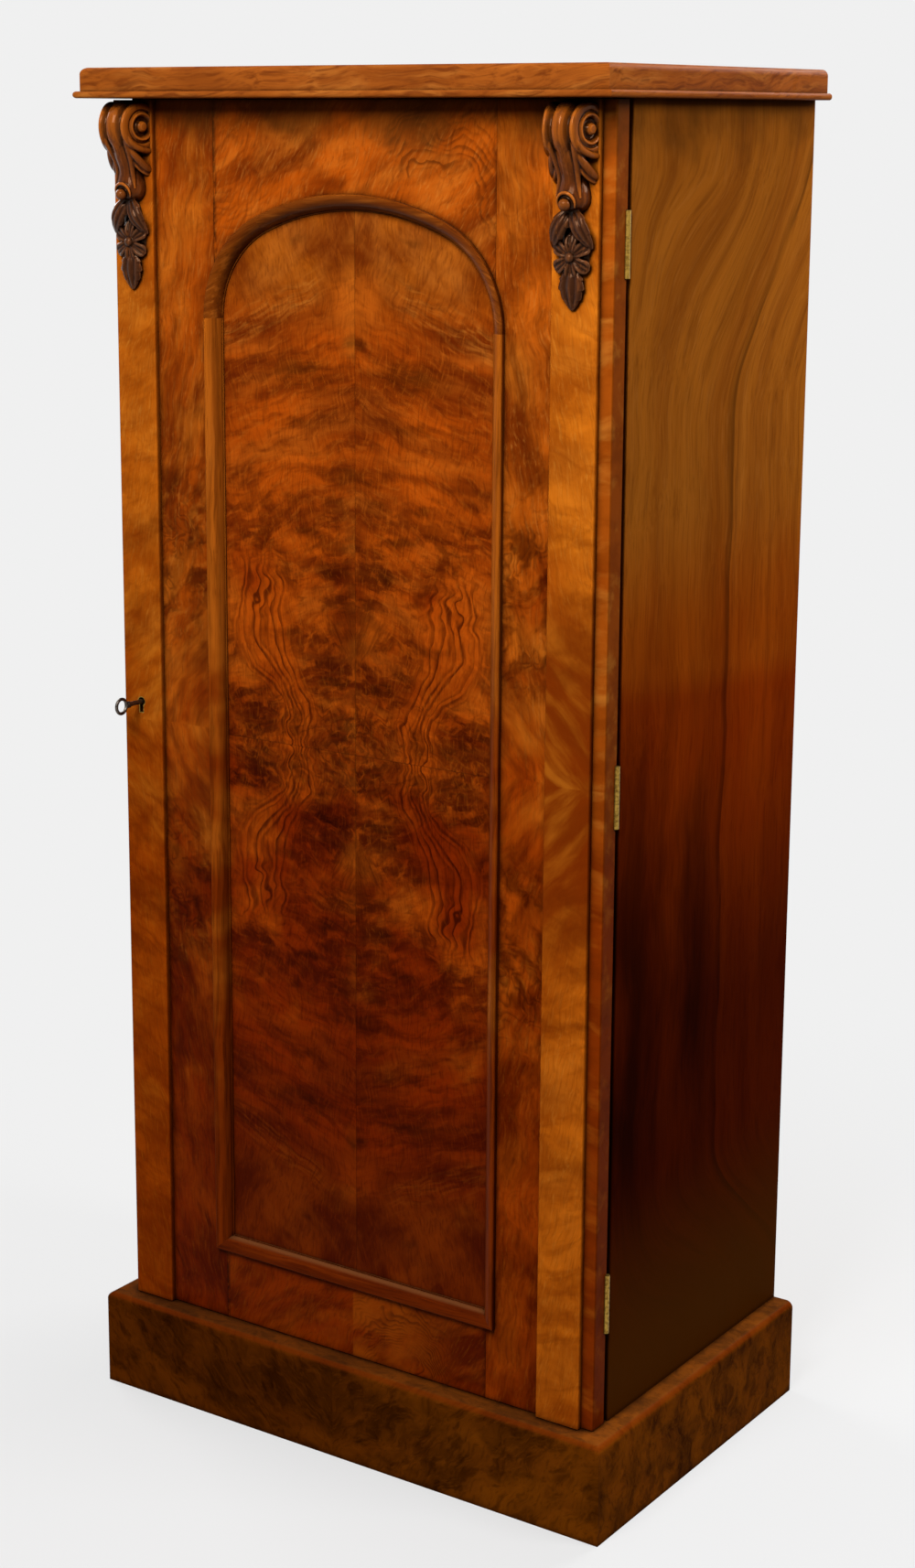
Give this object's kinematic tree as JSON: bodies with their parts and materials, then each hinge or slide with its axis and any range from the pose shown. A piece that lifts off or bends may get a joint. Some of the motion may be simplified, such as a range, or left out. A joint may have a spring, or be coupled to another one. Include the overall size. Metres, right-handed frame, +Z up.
{
  "type": "cupboard",
  "caption": "Tall narrow cupboard on a plinth; its front is a hinged arched-panel door with pilasters and carved corbels, locked by a key, with shelves inside.",
  "frame": {"origin": "on the floor, midway across the plinth and midway from the key's bow to the back", "axes": "+X to the right of someone facing the door, +Y to the back, +Z up"},
  "size_m": [0.66, 0.453, 1.482],
  "materials": {
    "walnut_frame": "french-polished figured walnut veneer on the door frame",
    "walnut_pilaster": "french-polished golden walnut veneer",
    "walnut_panel": "french-polished quarter-matched burr walnut veneer",
    "walnut_moulding": "french-polished walnut moulding",
    "walnut_side": "french-polished straight-grained walnut",
    "walnut_edge": "dark polished walnut strip",
    "walnut_top": "french-polished walnut veneer",
    "walnut_plinth": "dark polished burr walnut veneer",
    "carved_walnut": "polished carved walnut, dark in the hollows",
    "pine": "bare old pine",
    "brass": "aged brass",
    "steel": "aged bright steel"
  },
  "bodies": {
    "carcass": {"back_board_1": "pine", "back_board_2": "pine", "back_board_3": "pine", "back_board_4": "pine", "carcass_bottom": "pine", "dust_board": "pine", "hinge_bottom_carcass_leaf": "brass", "hinge_middle_carcass_leaf": "brass", "hinge_pins": "brass", "hinge_screws_carcass": "brass", "hinge_top_carcass_leaf": "brass", "left_lipping": "walnut_edge", "left_side": "walnut_side", "link_plate": "brass", "link_plate_screws": "brass", "lower_shelf": "pine", "middle_shelf": "pine", "plinth_back": "pine", "plinth_bearer": "pine", "plinth_front": "walnut_plinth", "plinth_glue_blocks": "pine", "plinth_left": "walnut_plinth", "plinth_right": "walnut_plinth", "right_lipping": "walnut_edge", "right_side": "walnut_side", "shelf_bearers_left": "pine", "shelf_bearers_right": "pine", "top_bead_front": "walnut_top", "top_bead_left": "walnut_top", "top_bead_right": "walnut_top", "top_board": "walnut_top", "top_packing": "pine", "upper_shelf": "pine"},
    "door": {"bottom_rail": "walnut_frame", "door_panel": "walnut_panel", "hinge_bottom_door_leaf": "brass", "hinge_middle_door_leaf": "brass", "hinge_screws_door": "brass", "hinge_stile": "walnut_frame", "hinge_top_door_leaf": "brass", "keyhole_escutcheon": "brass", "left_corbel_drop": "carved_walnut", "left_corbel_scroll": "carved_walnut", "left_pilaster": "walnut_pilaster", "lock_case": "steel", "lock_plate": "brass", "lock_screws": "brass", "lock_stile": "walnut_frame", "moulding_bottom": "walnut_moulding", "moulding_crown": "walnut_moulding", "moulding_haunch_left": "walnut_moulding", "moulding_haunch_right": "walnut_moulding", "moulding_left": "walnut_moulding", "moulding_right": "walnut_moulding", "right_corbel_drop": "carved_walnut", "right_corbel_scroll": "carved_walnut", "right_pilaster": "walnut_pilaster", "top_rail": "walnut_frame"},
    "key": {"key": "steel"},
    "lock_bolt": {"lock_bolt": "steel"}
  },
  "joints": [
    {"name": "door_hinge", "type": "hinge", "parent": "carcass", "child": "door", "pos_m": [0.306, -0.1545, 0.78], "axis": [0, 0, 1], "range_deg": [0, 170]},
    {"name": "key_turn", "type": "hinge", "parent": "door", "child": "key", "pos_m": [-0.2786, -0.1835, 0.8093], "axis": [0, 1, 0], "range_deg": [0, 360]},
    {"name": "bolt_slide", "type": "slide", "parent": "door", "child": "lock_bolt", "axis": [0, 0, 1], "range_m": [0, 0.008]}
  ],
  "couplings": [
    {"joint": "bolt_slide", "follows": "key_turn", "m_per_rad": 0.0012732}
  ]
}
